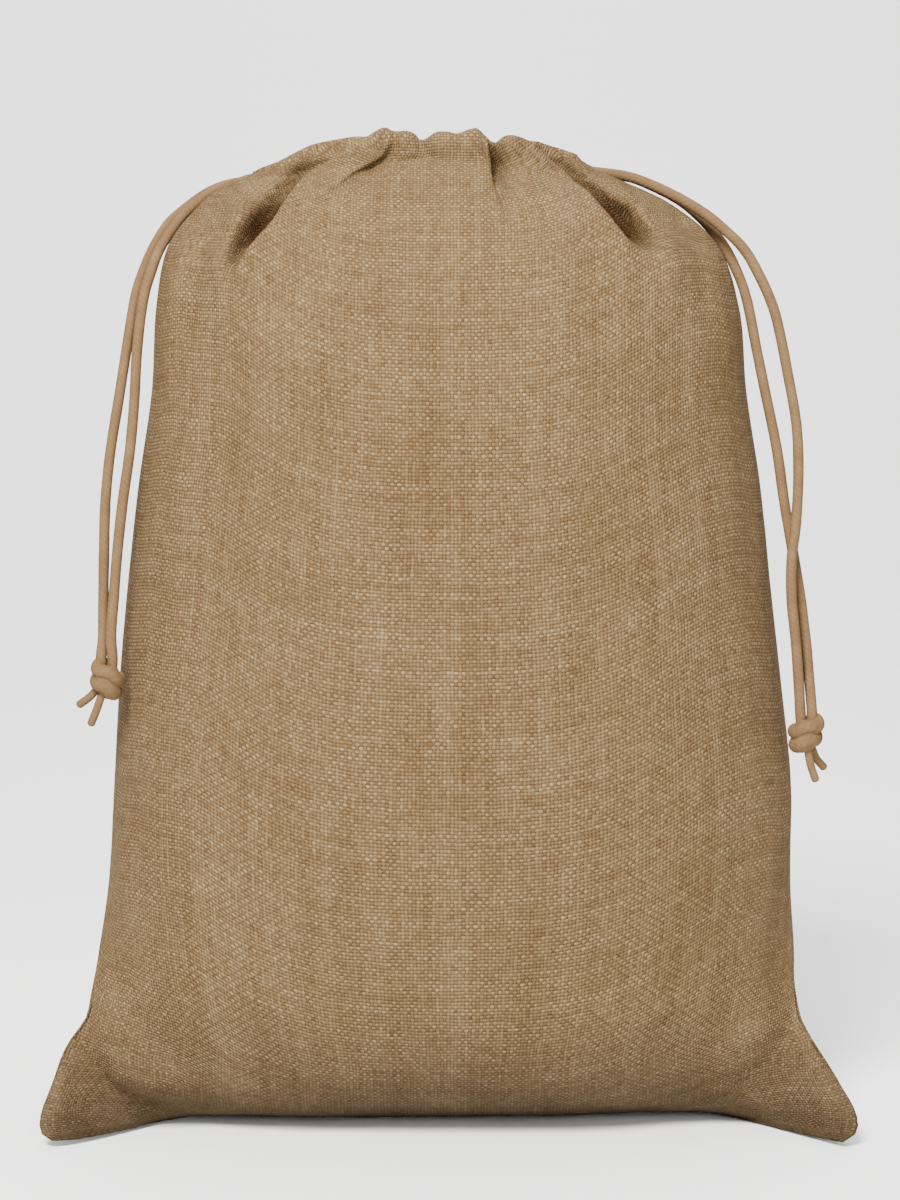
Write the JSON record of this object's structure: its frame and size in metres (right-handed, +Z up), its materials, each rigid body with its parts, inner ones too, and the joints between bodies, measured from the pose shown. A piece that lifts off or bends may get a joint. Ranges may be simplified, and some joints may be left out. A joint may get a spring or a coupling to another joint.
{
  "type": "burlap sack",
  "caption": "Coarse tan burlap sack with a gathered drawstring mouth, standing upright as if filled, with cords that hang down both sides to a knot.",
  "frame": {"origin": "on the floor under the middle of the sack, measured without the free cords", "axes": "+Z up towards the mouth, +X to the right as seen from the front, -Y towards the viewer of the front panel"},
  "size_m": [0.3786, 0.2089, 0.4668],
  "materials": {
    "burlap": "matte, open plain weave of uneven tan threads",
    "cord": "matte, smooth round tan cord"
  },
  "bodies": {
    "root": {"front_panel": "burlap", "back_panel": "burlap", "drawstring_front_in_hem": "cord", "drawstring_back_in_hem": "cord", "drawstring_front_left": "cord", "drawstring_back_left": "cord", "drawstring_front_right": "cord", "drawstring_back_right": "cord", "knot_left": "cord", "knot_right": "cord", "tail_front_left": "cord", "tail_back_left": "cord", "tail_front_right": "cord", "tail_back_right": "cord"}
  },
  "joints": []
}
